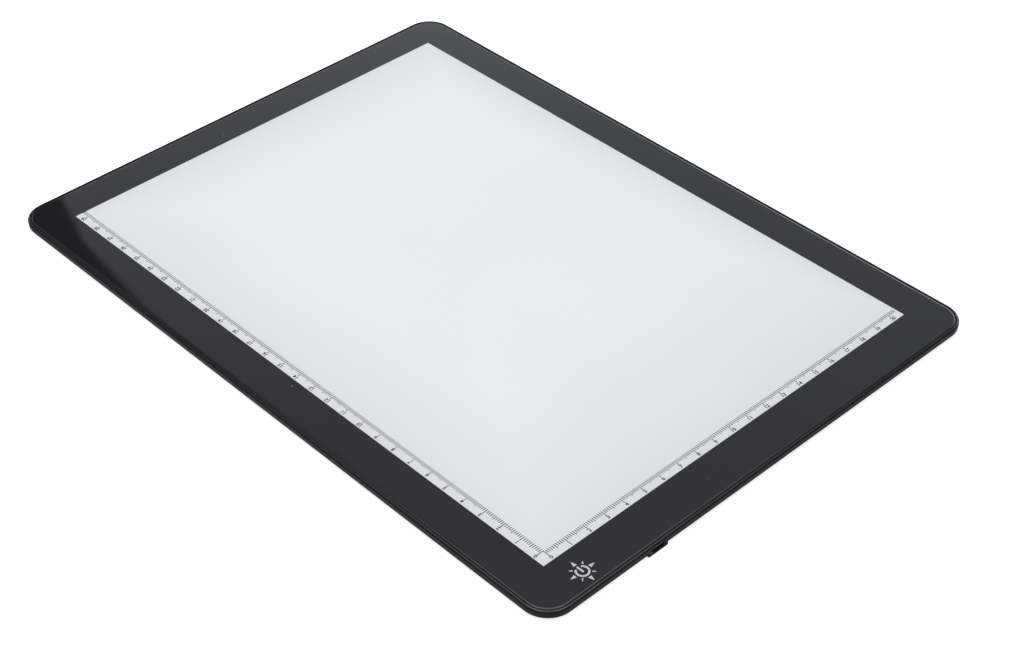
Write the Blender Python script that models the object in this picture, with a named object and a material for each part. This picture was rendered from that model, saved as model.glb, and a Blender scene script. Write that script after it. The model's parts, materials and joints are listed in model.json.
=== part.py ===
"""LED tracing pad, portrait, in metres, +Z up.

The origin is the centre of the footprint, on the plane that the feet stand on.
-Y is the short edge with the touch key and the USB inlet, -X is the edge that the light enters from.
"""

import math

import bmesh
import bpy
from mathutils import Vector

# Outline of the pad, seen from above
PAD_WIDTH = 0.247
PAD_LENGTH = 0.338
CORNER_RADIUS = 0.0120
CORNER_STEPS = 16
SMALL_CORNER_STEPS = 5

# Black border round the window
BORDER_SIDE = 0.0185
BORDER_FRONT = 0.0208
BORDER_REAR = 0.0188

# Layers from the underside up, and the play between two of them
FLOOR = 0.0008
REFLECTOR = 0.00015
GUIDE = 0.0014
DIFFUSER = 0.0002
MASK = 0.00005
PANEL = 0.0012
LAYER_GAP = 0.00004

# Rubber feet
FOOT_STAND = 0.0015
FOOT_RADIUS = 0.005
FOOT_RECESS = 0.0003
FOOT_RECESS_CLEARANCE = 0.0002
FOOT_EDGE = 0.0003
FOOT_FROM_SIDE = 0.020
FOOT_FROM_END = 0.022
FOOT_STEPS = 40

# Rim, wall and ledge of the rear cover
RIM_WIDTH = 0.0014
RIM_BEVEL = 0.00012
SHOULDER_RADIUS = 0.0009
BOTTOM_RADIUS = 0.0014
WALL_DRAFT = 0.0001
LEDGE_WIDTH = 0.0018
ROUND_STEPS = 5
BOTTOM_STEPS = 8

# Front panel, its mask and the tape that holds it on the ledge
PANEL_CLEARANCE = 0.0002
PANEL_EDGE = 0.00035
PANEL_EDGE_STEPS = 3
PANEL_BACK_BEVEL = 0.0001
MASK_MARGIN = 0.0003
TAPE = 0.0002
TAPE_MARGIN = 0.0002

# Light guide and the films and tapes on it
GUIDE_OVERLAP = 0.003
GUIDE_CORNER = 0.0008
FILM_MARGIN = 0.0003
EDGE_TAPE = 0.0001
EDGE_TAPE_END = 0.001

# Strip board with its side-view LEDs
LED_COUNT = 24
LED_LENGTH = 0.0038
LED_DEPTH = 0.0010
LED_HEIGHT = 0.0009
LED_CUP_WALL = 0.00014
LED_CUP_SLOPE = 0.00012
LED_CUP_DEPTH = 0.0003
LED_EMIT_GAP = 0.0002
LED_SETBACK = 0.0001
LED_BOARD_WIDTH = 0.0050
LED_BOARD = 0.0004
LED_BOARD_END = 0.0005
LED_BOARD_TAPE = 0.0001
LED_TAPE_MARGIN = 0.0005
LED_END_MARGIN = 0.006

# Rail round the light chamber, and the ribs between it and the wall
RAIL_THICKNESS = 0.0012
RAIL_CLEARANCE = 0.0003
RAIL_ROOT = 0.0003
RIB_THICKNESS = 0.0008
RIB_HEIGHT = 0.0010
RIBS_ON_SIDE = 7
RIBS_ON_END = 5
RIBS_BY_BOARD = 3
LEAD_NOTCH_MARGIN = 0.0002
LEAD_NOTCH_SILL = 0.0002

# Places of the touch key and the USB inlet, from the window's left edge and across the front border
KEY_FROM_WINDOW = 0.0089
PORT_FROM_WINDOW = 0.0393
KEY_SHARE = 0.453

# Control board
BOARD = 0.0006
BOARD_CLEARANCE = 0.0004
BOARD_FROM_RAIL = 0.0013
BOARD_CORNER = 0.0006
BOARD_LEFT_OF_KEY = 0.0106
BOARD_RIGHT_OF_PORT = 0.0112
PEG_RADIUS = 0.0008
PEG_CLEARANCE = 0.0002
PEG_PROUD = 0.0003
PEG_FROM_END = 0.0022
PEG_FROM_EDGE = 0.0022
PEG_STEPS = 16

# USB inlet: folded shell, moulded tongue and five contacts
SHELL_WIDTH = 0.0073
SHELL_HEIGHT = 0.0023
SHELL_METAL = 0.00025
SHELL_ABOVE_BOARD = 0.0006
SHELL_LENGTH = 0.0052
SHELL_CUT_WIDTH = 0.0011
SHELL_CUT_HEIGHT = 0.0009
SHELL_FLARE = 0.00008
SHELL_FLARE_LENGTH = 0.0005
SHELL_RECESS = 0.0004
EAR_WIDTH = 0.0013
EAR_LENGTH = 0.0016
EAR_FROM_BACK = 0.0005
PORT_CLEARANCE = 0.00012
NOTCH_BACK = 0.0005
TONGUE_WIDTH = 0.0039
TONGUE = 0.0006
TONGUE_DROP = 0.00025
TONGUE_FROM_MOUTH = 0.0009
TONGUE_BLOCK = 0.0014
TONGUE_PLAY = 0.00006
CONTACT_COUNT = 5
CONTACT_PITCH = 0.00065
CONTACT_WIDTH = 0.0003
CONTACT = 0.00012
CONTACT_TIP = 0.0003
CONTACT_TAIL = 0.0009

# Boss that brings the rounded wall out to a flat face round the inlet and drops a little under the floor
BOSS_DROP = 0.0007
BOSS_FLARE = 0.0014
BOSS_SIDE_WALL = 0.0012
BOSS_BACK_WALL = 0.0008
BOSS_SETBACK = 0.00015
BOSS_SLANT = 0.0022
BOSS_IN_WALL = 0.0028
BOSS_IN_WALL_CORNER = 0.0003
BOSS_BACK_CORNER = 0.0014
BOSS_UNDER_LEDGE = 0.00035
BOSS_UNDER_FLOOR = 0.00006
BOSS_RISE = 0.00003
BOSS_STEPS = 8

# Parts on the control board
FOAM_RADIUS = 0.0045
FOAM_STEPS = 32
IC_BODY = (0.0029, 0.0016, 0.0010)
IC_PITCH = 0.00095
FET_BODY = (0.0029, 0.0013, 0.0009)
FET_PITCH = 0.00095
LEG_WIDTH = 0.0004
LEG = 0.00012
LEG_REACH = 0.0006
LEG_FOOT = 0.00035
LEG_SHOULDER_SHARE = 0.45
CHIP_STANDOFF = 0.00006
CHIP_TAPER = 0.00010
RESISTOR_SIZE = (0.0020, 0.00125, 0.0005)
CAPACITOR_SIZE = (0.0032, 0.0016, 0.0011)
TERMINAL_LENGTH = 0.0004
TERMINAL_STEP = 0.00004
RESISTOR_COUNT = 3
RESISTOR_PITCH = 0.0024

# Leads from the control board to the strip board
LEAD_DIAMETER = 0.0008
LEAD_PITCH = 0.0016
LEAD_BEND = 0.0036
LEAD_ON_BOARD = 0.0030
LEAD_ON_STRIP = 0.0016
LEAD_FROM_STRIP_EDGE = 0.0009
LEAD_STEPS = 10

# One overrun for every cutter that has to leave the piece it cuts
OVERRUN = 0.0010
SHARP_ANGLE = math.radians(34)

# Heights, each from the layer below it
UNDERSIDE_Z = FOOT_STAND
FLOOR_Z = UNDERSIDE_Z + FLOOR
REFLECTOR_Z = FLOOR_Z + LAYER_GAP
GUIDE_Z = REFLECTOR_Z + REFLECTOR + LAYER_GAP
GUIDE_TOP_Z = GUIDE_Z + GUIDE
DIFFUSER_Z = GUIDE_TOP_Z + LAYER_GAP
MASK_Z = DIFFUSER_Z + DIFFUSER + LAYER_GAP
PANEL_Z = MASK_Z + MASK + LAYER_GAP
TOP_Z = PANEL_Z + PANEL
TAPE_Z = MASK_Z - LAYER_GAP - TAPE
LEDGE_Z = TAPE_Z - LAYER_GAP
LED_TAPE_Z = FLOOR_Z + LAYER_GAP
LED_BOARD_Z = LED_TAPE_Z + LED_BOARD_TAPE + LAYER_GAP
LED_BOARD_TOP_Z = LED_BOARD_Z + LED_BOARD
LED_Z = LED_BOARD_TOP_Z + LAYER_GAP
BOARD_Z = FLOOR_Z + LAYER_GAP
BOARD_TOP_Z = BOARD_Z + BOARD
ON_BOARD_Z = BOARD_TOP_Z + LAYER_GAP
SHELL_TOP_Z = ON_BOARD_Z + SHELL_ABOVE_BOARD

# Places, each from the edges of the pad
LEFT_X = -PAD_WIDTH / 2
RIGHT_X = PAD_WIDTH / 2
FRONT_Y = -PAD_LENGTH / 2
REAR_Y = PAD_LENGTH / 2
WALL_INSET = RIM_WIDTH + LEDGE_WIDTH
PANEL_INSET = RIM_WIDTH + PANEL_CLEARANCE


class Box:
    """A rectangle on the pad's plan: its left, right, front and rear edges."""

    def __init__(self, left, right, front, rear):
        self.left = left
        self.right = right
        self.front = front
        self.rear = rear

    def grown(self, margin):
        return Box(self.left - margin, self.right + margin, self.front - margin, self.rear + margin)

    def middle(self):
        return (self.left + self.right) / 2, (self.front + self.rear) / 2


PAD = Box(LEFT_X, RIGHT_X, FRONT_Y, REAR_Y)
WINDOW = Box(LEFT_X + BORDER_SIDE, RIGHT_X - BORDER_SIDE, FRONT_Y + BORDER_FRONT, REAR_Y - BORDER_REAR)
KEY_X = WINDOW.left + KEY_FROM_WINDOW
KEY_Y = FRONT_Y + BORDER_FRONT * KEY_SHARE
PORT_X = WINDOW.left + PORT_FROM_WINDOW
GUIDE_PLAN = WINDOW.grown(GUIDE_OVERLAP)
LED_FACE_X = GUIDE_PLAN.left - LED_EMIT_GAP
LED_BOARD_PLAN = Box(
    LED_FACE_X - LED_SETBACK - LED_BOARD_WIDTH,
    LED_FACE_X - LED_SETBACK,
    GUIDE_PLAN.front + LED_BOARD_END,
    GUIDE_PLAN.rear - LED_BOARD_END,
)
CHAMBER_MARGIN = LAYER_GAP + EDGE_TAPE + RAIL_CLEARANCE
CHAMBER = Box(
    LED_BOARD_PLAN.left - RAIL_CLEARANCE,
    GUIDE_PLAN.right + CHAMBER_MARGIN,
    GUIDE_PLAN.front - CHAMBER_MARGIN,
    GUIDE_PLAN.rear + CHAMBER_MARGIN,
)
RAIL = CHAMBER.grown(RAIL_THICKNESS)
BOARD_PLAN = Box(
    KEY_X - BOARD_LEFT_OF_KEY,
    PORT_X + BOARD_RIGHT_OF_PORT,
    FRONT_Y + WALL_INSET + BOARD_CLEARANCE,
    RAIL.front - BOARD_FROM_RAIL,
)
MOUTH_Y = FRONT_Y + SHELL_RECESS
SHELL_BACK_Y = MOUTH_Y + SHELL_LENGTH
NOTCH_BACK_Y = SHELL_BACK_Y + NOTCH_BACK
PORT_MARGIN = SHELL_FLARE + PORT_CLEARANCE
TONGUE_TOP_Z = SHELL_TOP_Z - SHELL_METAL - TONGUE_DROP
TONGUE_Z = TONGUE_TOP_Z - TONGUE
TONGUE_FRONT_Y = MOUTH_Y + TONGUE_FROM_MOUTH
BLOCK_FRONT_Y = SHELL_BACK_Y - TONGUE_BLOCK
LEAD_TURN_X = LED_BOARD_PLAN.left + LEAD_FROM_STRIP_EDGE + LEAD_PITCH + LEAD_BEND
LEAD_TURN_Y = BOARD_PLAN.rear
PEGS = (
    (BOARD_PLAN.left + PEG_FROM_END, BOARD_PLAN.front + PEG_FROM_EDGE),
    (BOARD_PLAN.right - PEG_FROM_END, BOARD_PLAN.rear - PEG_FROM_EDGE),
)


def material(name, colour, roughness, metallic=0.0, alpha=1.0):
    """A plain material, its colour given as linear red, green and blue."""
    made = bpy.data.materials.new(name)
    made.use_nodes = True
    shader = made.node_tree.nodes["Principled BSDF"]
    shader.inputs["Base Color"].default_value = (*colour, 1.0)
    shader.inputs["Roughness"].default_value = roughness
    shader.inputs["Metallic"].default_value = metallic
    shader.inputs["Alpha"].default_value = alpha
    made.diffuse_color = (*colour, alpha)
    return made


def clear_scene():
    for thing in list(bpy.data.objects):
        bpy.data.objects.remove(thing, do_unlink=True)


def node_from(name, bm, finish):
    """An object made from a mesh under construction, with its faces turned outwards."""
    bmesh.ops.recalc_face_normals(bm, faces=bm.faces)
    mesh = bpy.data.meshes.new(name)
    bm.to_mesh(mesh)
    bm.free()
    node = bpy.data.objects.new(name, mesh)
    bpy.context.collection.objects.link(node)
    if finish is not None:
        mesh.materials.append(finish)
    return node


def add_sweep(bm, rings, closed=False):
    """Bridges each ring of points to the next. An open sweep gets a face over each end."""
    loops = [[bm.verts.new(point) for point in ring] for ring in rings]
    pairs = list(zip(loops, loops[1:]))
    if closed:
        pairs.append((loops[-1], loops[0]))
    for lower, upper in pairs:
        count = len(lower)
        for i in range(count):
            j = (i + 1) % count
            bm.faces.new((lower[i], lower[j], upper[j], upper[i]))
    if not closed:
        bm.faces.new(loops[0][::-1])
        bm.faces.new(loops[-1])


def sweep(name, rings, finish, closed=False):
    bm = bmesh.new()
    add_sweep(bm, rings, closed)
    return node_from(name, bm, finish)


def corner_arc(x, y, radius, start, steps):
    """Points of a quarter turn about x, y that starts at the angle start."""
    turn = math.pi / 2 / steps
    return [
        (x + radius * math.cos(start + turn * k), y + radius * math.sin(start + turn * k))
        for k in range(steps + 1)
    ]


def rounded(plan, z, front_radius, rear_radius, steps):
    """The outline of a plan with rounded corners at height z."""
    low = plan.front + front_radius
    high = plan.rear - rear_radius
    quarter = math.pi / 2
    corners = (
        (plan.left + rear_radius, high, rear_radius, quarter),
        (plan.left + front_radius, low, front_radius, 2 * quarter),
        (plan.right - front_radius, low, front_radius, 3 * quarter),
        (plan.right - rear_radius, high, rear_radius, 0.0),
    )
    return [(x, y, z) for corner in corners for x, y in corner_arc(*corner, steps)]


def pad_ring(inset, z):
    """The pad's own outline moved inwards."""
    radius = CORNER_RADIUS - inset
    return rounded(PAD.grown(-inset), z, radius, radius, CORNER_STEPS)


def square_ring(plan, z):
    return [
        (plan.left, plan.front, z),
        (plan.right, plan.front, z),
        (plan.right, plan.rear, z),
        (plan.left, plan.rear, z),
    ]


def add_block(bm, plan, low, high):
    add_sweep(bm, [square_ring(plan, low), square_ring(plan, high)])


def block(name, plan, low, high, finish):
    return sweep(name, [square_ring(plan, low), square_ring(plan, high)], finish)


def plate(name, plan, low, high, radius, finish):
    rings = [rounded(plan, z, radius, radius, SMALL_CORNER_STEPS) for z in (low, high)]
    return sweep(name, rings, finish)


def circle(x, y, radius, z, steps):
    turn = 2 * math.pi / steps
    return [(x + radius * math.cos(turn * k), y + radius * math.sin(turn * k), z) for k in range(steps)]


def add_disc(bm, x, y, radius, low, high, steps):
    add_sweep(bm, [circle(x, y, radius, low, steps), circle(x, y, radius, high, steps)])


def helper(bm, name):
    """A shape that only cuts or joins another piece."""
    made = node_from(name, bm, None)
    made.hide_render = True
    made.display_type = "WIRE"
    return made


def combine(node, other, operation):
    step = node.modifiers.new(other.name, "BOOLEAN")
    step.operation = operation
    step.solver = "EXACT"
    step.object = other


def cut(node, bm, name):
    combine(node, helper(bm, name), "DIFFERENCE")


def join(node, bm, name):
    combine(node, helper(bm, name), "UNION")


def spread(low, high, count):
    """Places of count things that share the stretch from low to high evenly."""
    pitch = (high - low) / count
    return [low + pitch * (k + 0.5) for k in range(count)]


def port_section(margin, y):
    """The inlet's outline, wide on top with its two lower corners cut, grown by margin."""
    half = SHELL_WIDTH / 2 + margin
    top = SHELL_TOP_Z + margin
    bottom = SHELL_TOP_Z - SHELL_HEIGHT - margin
    narrow = half - SHELL_CUT_WIDTH
    raised = bottom + SHELL_CUT_HEIGHT
    left = [(-half, top), (-half, raised), (-narrow, bottom)]
    right = [(-x, z) for x, z in reversed(left)]
    return [(PORT_X + x, y, z) for x, z in left + right]


def cover_rings():
    """The cover's section on its way round the pad: under the floor, up the wall, over the rim and in."""
    rings = []
    for k in range(BOTTOM_STEPS + 1):
        angle = math.pi / 2 * k / BOTTOM_STEPS
        inset = WALL_DRAFT + BOTTOM_RADIUS * (1 - math.sin(angle))
        rings.append(pad_ring(inset, UNDERSIDE_Z + BOTTOM_RADIUS * (1 - math.cos(angle))))
    for k in range(ROUND_STEPS + 1):
        angle = math.pi / 2 * k / ROUND_STEPS
        inset = SHOULDER_RADIUS * (1 - math.cos(angle))
        rings.append(pad_ring(inset, TOP_Z - SHOULDER_RADIUS * (1 - math.sin(angle))))
    rings.append(pad_ring(RIM_WIDTH - RIM_BEVEL, TOP_Z))
    rings.append(pad_ring(RIM_WIDTH, TOP_Z - RIM_BEVEL))
    rings.append(pad_ring(RIM_WIDTH, LEDGE_Z))
    rings.append(pad_ring(WALL_INSET, LEDGE_Z))
    rings.append(pad_ring(WALL_INSET, FLOOR_Z))
    return rings


def boss_ring(z, flare, rear, corner):
    """The boss's outline at height z: a flat front, sides that slant out by flare, round rear corners."""
    half = SHELL_WIDTH / 2 + PORT_MARGIN + BOSS_SIDE_WALL
    wide = half + flare
    front = FRONT_Y + BOSS_SETBACK
    slant_end = front + BOSS_SLANT
    left = corner_arc(-wide + corner, rear - corner, corner, math.pi / 2, SMALL_CORNER_STEPS)
    left += [(-wide, slant_end), (-half, front)]
    right = [(-x, y) for x, y in reversed(left)]
    return [(PORT_X + x, y, z) for x, y in left + right]


def boss_rings():
    """Outlines of the boss from inside the wall, out under the floor, and down to its flat foot."""
    in_wall = FRONT_Y + BOSS_SETBACK + BOSS_IN_WALL
    under = FLOOR_Z - BOSS_UNDER_FLOOR
    rear = NOTCH_BACK_Y + BOSS_BACK_WALL
    rings = [
        boss_ring(LEDGE_Z - BOSS_UNDER_LEDGE, BOSS_FLARE, in_wall, BOSS_IN_WALL_CORNER),
        boss_ring(under + BOSS_UNDER_FLOOR / 2, BOSS_FLARE, in_wall, BOSS_IN_WALL_CORNER),
        boss_ring(under, BOSS_FLARE, rear + BOSS_FLARE, BOSS_BACK_CORNER + BOSS_FLARE),
    ]
    for k in range(BOSS_STEPS + 1):
        share = k / BOSS_STEPS
        drop = BOSS_DROP * (3 * share**2 - 2 * share**3)
        flare = BOSS_FLARE * (1 - share)
        rise = BOSS_RISE * (1 - share)
        rings.append(boss_ring(UNDERSIDE_Z + rise - drop, flare, rear + flare, BOSS_BACK_CORNER + flare))
    return rings


def add_ribs(bm):
    """Low ribs that tie the rail to the wall on all four sides."""
    low = FLOOR_Z - RAIL_ROOT
    high = FLOOR_Z + RIB_HEIGHT
    half = RIB_THICKNESS / 2
    wall = PAD.grown(RAIL_ROOT - WALL_INSET)
    for y in spread(RAIL.front, RAIL.rear, RIBS_ON_SIDE):
        add_block(bm, Box(wall.left, RAIL.left + RAIL_ROOT, y - half, y + half), low, high)
        add_block(bm, Box(RAIL.right - RAIL_ROOT, wall.right, y - half, y + half), low, high)
    for x in spread(RAIL.left, RAIL.right, RIBS_ON_END):
        add_block(bm, Box(x - half, x + half, RAIL.rear - RAIL_ROOT, wall.rear), low, high)
    for x in spread(BOARD_PLAN.right, RAIL.right, RIBS_BY_BOARD):
        add_block(bm, Box(x - half, x + half, wall.front, RAIL.front + RAIL_ROOT), low, high)


def add_foot_discs(bm, radius, low, high):
    for x, y in foot_places():
        add_disc(bm, x, y, radius, low, high, FOOT_STEPS)


def foot_places():
    across = (LEFT_X + FOOT_FROM_SIDE, RIGHT_X - FOOT_FROM_SIDE)
    along = (FRONT_Y + FOOT_FROM_END, REAR_Y - FOOT_FROM_END)
    return [(x, y) for y in along for x in across]


def make_rear_cover(finish):
    cover = sweep("rear_cover", cover_rings(), finish)

    rail = bmesh.new()
    root = FLOOR_Z - RAIL_ROOT
    corners = ((CHAMBER, root), (CHAMBER, LEDGE_Z), (RAIL, LEDGE_Z), (RAIL, root))
    add_sweep(rail, [square_ring(*corner) for corner in corners], closed=True)
    join(cover, rail, "chamber_rail")

    ribs = bmesh.new()
    add_ribs(ribs)
    join(cover, ribs, "cross_ribs")

    notch = bmesh.new()
    way = Box(
        LED_BOARD_PLAN.left + LEAD_NOTCH_MARGIN,
        LED_BOARD_PLAN.right - LEAD_NOTCH_MARGIN,
        RAIL.front - OVERRUN,
        CHAMBER.front + OVERRUN,
    )
    add_block(notch, way, FLOOR_Z + LEAD_NOTCH_SILL, LEDGE_Z + OVERRUN)
    cut(cover, notch, "lead_notch")

    pegs = bmesh.new()
    for x, y in PEGS:
        add_disc(pegs, x, y, PEG_RADIUS, root, BOARD_TOP_Z + PEG_PROUD, PEG_STEPS)
    join(cover, pegs, "board_pegs")

    boss = bmesh.new()
    add_sweep(boss, boss_rings())
    join(cover, boss, "inlet_boss")

    pocket = bmesh.new()
    ends = (FRONT_Y - OVERRUN, NOTCH_BACK_Y)
    add_sweep(pocket, [port_section(PORT_MARGIN, y) for y in ends])
    cut(cover, pocket, "inlet_pocket")

    recesses = bmesh.new()
    radius = FOOT_RADIUS + FOOT_RECESS_CLEARANCE
    add_foot_discs(recesses, radius, UNDERSIDE_Z - OVERRUN, UNDERSIDE_Z + FOOT_RECESS)
    cut(cover, recesses, "foot_recesses")
    return cover


def make_front_panel(finish):
    """A clear sheet with a fine chamfer under its edge and a polished round over it."""
    rings = [
        pad_ring(PANEL_INSET + PANEL_BACK_BEVEL, PANEL_Z),
        pad_ring(PANEL_INSET, PANEL_Z + PANEL_BACK_BEVEL),
    ]
    for k in range(PANEL_EDGE_STEPS + 1):
        angle = math.pi / 2 * k / PANEL_EDGE_STEPS
        inset = PANEL_INSET + PANEL_EDGE * (1 - math.cos(angle))
        rings.append(pad_ring(inset, TOP_Z - PANEL_EDGE * (1 - math.sin(angle))))
    return sweep("front_panel", rings, finish)


def make_border_mask(finish):
    inset = PANEL_INSET + MASK_MARGIN
    mask = sweep("border_mask", [pad_ring(inset, MASK_Z), pad_ring(inset, MASK_Z + MASK)], finish)
    window = bmesh.new()
    add_block(window, WINDOW, MASK_Z - OVERRUN, MASK_Z + MASK + OVERRUN)
    cut(mask, window, "mask_window")
    return mask


def make_panel_tape(finish):
    outer = PANEL_INSET + TAPE_MARGIN
    inner = WALL_INSET - TAPE_MARGIN
    corners = [(outer, TAPE_Z), (outer, TAPE_Z + TAPE), (inner, TAPE_Z + TAPE), (inner, TAPE_Z)]
    return sweep("panel_tape", [pad_ring(inset, z) for inset, z in corners], finish, closed=True)


def make_light_stack(acrylic, film, tape):
    """The light guide with the film under it, the film over it and the tape on its three dark edges."""
    films = GUIDE_PLAN.grown(-FILM_MARGIN)
    block("reflector_film", films, REFLECTOR_Z, REFLECTOR_Z + REFLECTOR, film)
    plate("light_guide_plate", GUIDE_PLAN, GUIDE_Z, GUIDE_TOP_Z, GUIDE_CORNER, acrylic)
    block("diffuser_film", films, DIFFUSER_Z, DIFFUSER_Z + DIFFUSER, film)

    near = GUIDE_PLAN.grown(LAYER_GAP)
    far = near.grown(EDGE_TAPE)
    across = (GUIDE_PLAN.left + EDGE_TAPE_END, GUIDE_PLAN.right - EDGE_TAPE_END)
    along = (GUIDE_PLAN.front + EDGE_TAPE_END, GUIDE_PLAN.rear - EDGE_TAPE_END)
    strips = {
        "edge_reflector_front": Box(*across, far.front, near.front),
        "edge_reflector_rear": Box(*across, near.rear, far.rear),
        "edge_reflector_right": Box(near.right, far.right, *along),
    }
    for name, plan in strips.items():
        block(name, plan, GUIDE_Z, GUIDE_TOP_Z, tape)


def led_rings(y):
    """A side-view package lying on its side: a body with a shallow cup in the face towards the guide."""
    back = LED_FACE_X - LED_DEPTH
    floor = LED_CUP_WALL + LED_CUP_SLOPE
    sections = (
        (back, 0.0),
        (LED_FACE_X, 0.0),
        (LED_FACE_X, LED_CUP_WALL),
        (LED_FACE_X - LED_CUP_DEPTH, floor),
    )
    rings = []
    for x, inset in sections:
        front = y - LED_LENGTH / 2 + inset
        rear = y + LED_LENGTH / 2 - inset
        low = LED_Z + inset
        high = LED_Z + LED_HEIGHT - inset
        rings.append([(x, front, low), (x, rear, low), (x, rear, high), (x, front, high)])
    return rings


def make_led_strip(board, tape, body):
    block("led_board", LED_BOARD_PLAN, LED_BOARD_Z, LED_BOARD_TOP_Z, board)
    under = LED_BOARD_PLAN.grown(-LED_TAPE_MARGIN)
    block("led_board_tape", under, LED_TAPE_Z, LED_TAPE_Z + LED_BOARD_TAPE, tape)
    low = LED_BOARD_PLAN.front + LED_END_MARGIN
    high = LED_BOARD_PLAN.rear - LED_END_MARGIN
    for k, y in enumerate(spread(low, high, LED_COUNT)):
        sweep(f"led_{k + 1:02d}", led_rings(y), body)


def make_control_board(finish):
    board = plate("control_board", BOARD_PLAN, BOARD_Z, BOARD_TOP_Z, BOARD_CORNER, finish)
    notch = bmesh.new()
    half = SHELL_WIDTH / 2 + PORT_MARGIN
    way = Box(PORT_X - half, PORT_X + half, BOARD_PLAN.front - OVERRUN, NOTCH_BACK_Y)
    add_block(notch, way, BOARD_Z - OVERRUN, BOARD_TOP_Z + OVERRUN)
    cut(board, notch, "inlet_notch")
    holes = bmesh.new()
    for x, y in PEGS:
        radius = PEG_RADIUS + PEG_CLEARANCE
        add_disc(holes, x, y, radius, BOARD_Z - OVERRUN, BOARD_TOP_Z + OVERRUN, PEG_STEPS)
    cut(board, holes, "peg_holes")
    return board


def make_socket_shell(finish):
    """A folded tube with a slightly flared mouth and an ear on each side that is soldered to the board."""
    sections = (
        (0.0, SHELL_BACK_Y),
        (0.0, MOUTH_Y + SHELL_FLARE_LENGTH),
        (SHELL_FLARE, MOUTH_Y),
        (SHELL_FLARE - SHELL_METAL, MOUTH_Y),
        (-SHELL_METAL, MOUTH_Y + SHELL_FLARE_LENGTH),
        (-SHELL_METAL, SHELL_BACK_Y),
    )
    shell = sweep("usb_socket_shell", [port_section(*section) for section in sections], finish, closed=True)
    ears = bmesh.new()
    inner = SHELL_WIDTH / 2 - SHELL_METAL / 2
    outer = SHELL_WIDTH / 2 + PORT_MARGIN + EAR_WIDTH
    rear = SHELL_BACK_Y - EAR_FROM_BACK
    front = rear - EAR_LENGTH
    top = ON_BOARD_Z + SHELL_METAL
    add_block(ears, Box(PORT_X - outer, PORT_X - inner, front, rear), ON_BOARD_Z, top)
    add_block(ears, Box(PORT_X + inner, PORT_X + outer, front, rear), ON_BOARD_Z, top)
    join(shell, ears, "shell_ears")
    return shell


def contact_places():
    first = PORT_X - CONTACT_PITCH * (CONTACT_COUNT - 1) / 2
    return [first + CONTACT_PITCH * k for k in range(CONTACT_COUNT)]


def make_tongue(finish):
    """The moulded block that closes the back of the tube, and the tongue that stands out of it."""
    margin = -SHELL_METAL - TONGUE_PLAY
    ends = [port_section(margin, y) for y in (BLOCK_FRONT_Y, SHELL_BACK_Y)]
    tongue = sweep("usb_socket_tongue", ends, finish)
    blade = bmesh.new()
    half = TONGUE_WIDTH / 2
    plan = Box(PORT_X - half, PORT_X + half, TONGUE_FRONT_Y, BLOCK_FRONT_Y + TONGUE_BLOCK / 2)
    add_block(blade, plan, TONGUE_Z, TONGUE_TOP_Z)
    join(tongue, blade, "tongue_blade")
    grooves = bmesh.new()
    half = CONTACT_WIDTH / 2 + TONGUE_PLAY
    for x in contact_places():
        plan = Box(x - half, x + half, TONGUE_FRONT_Y + CONTACT_TIP - TONGUE_PLAY, SHELL_BACK_Y + OVERRUN)
        add_block(grooves, plan, TONGUE_Z - TONGUE_PLAY, TONGUE_Z + CONTACT + TONGUE_PLAY)
    cut(tongue, grooves, "contact_grooves")
    return tongue


def add_strip(bm, outline, x, width):
    """A bent strip of metal: an outline in the Y-Z plane, made width wide about x."""
    add_sweep(bm, [[(side, y, z) for y, z in outline] for side in (x - width / 2, x + width / 2)])


def make_contacts(finish):
    """Five bent strips that run under the tongue, rise behind the tube and lie on the board."""
    front = TONGUE_FRONT_Y + CONTACT_TIP
    riser = (SHELL_BACK_Y + NOTCH_BACK_Y) / 2
    back = riser + CONTACT / 2
    low = TONGUE_Z
    high = ON_BOARD_Z
    outline = [
        (front, low),
        (back, low),
        (back, high),
        (back + CONTACT_TAIL, high),
        (back + CONTACT_TAIL, high + CONTACT),
        (back - CONTACT, high + CONTACT),
        (back - CONTACT, low + CONTACT),
        (front, low + CONTACT),
    ]
    for k, x in enumerate(contact_places()):
        bm = bmesh.new()
        add_strip(bm, outline, x, CONTACT_WIDTH)
        node_from(f"usb_contact_{k + 1}", bm, finish)


def make_chip(name, x, y, size, pitch, legs, finish):
    """A moulded body, drawn in towards its top and bottom, with bent legs on its front and rear sides.

    legs gives how many stand on each side.
    """
    length, width, height = size
    middle = Box(x - length / 2, x + length / 2, y - width / 2, y + width / 2)
    low = ON_BOARD_Z + CHIP_STANDOFF
    levels = ((low, -CHIP_TAPER), (low + height / 2, 0.0), (low + height, -CHIP_TAPER))
    chip = sweep(name, [square_ring(middle.grown(margin), z) for z, margin in levels], finish)

    shoulder = low + height * LEG_SHOULDER_SHARE
    bm = bmesh.new()
    for side, count in zip((-1, 1), legs):
        root = width / 2 - CHIP_TAPER
        knee = width / 2 + LEG_REACH - LEG_FOOT
        tip = knee + LEG_FOOT
        outline = [
            (root, shoulder),
            (knee, shoulder),
            (knee, ON_BOARD_Z),
            (tip, ON_BOARD_Z),
            (tip, ON_BOARD_Z + LEG),
            (knee + LEG, ON_BOARD_Z + LEG),
            (knee + LEG, shoulder + LEG),
            (root, shoulder + LEG),
        ]
        placed = [(y + side * reach, z) for reach, z in outline]
        first = x - pitch * (count - 1) / 2
        for k in range(count):
            add_strip(bm, placed, first + pitch * k, LEG_WIDTH)
    join(chip, bm, f"{name}_legs")
    return chip


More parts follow.
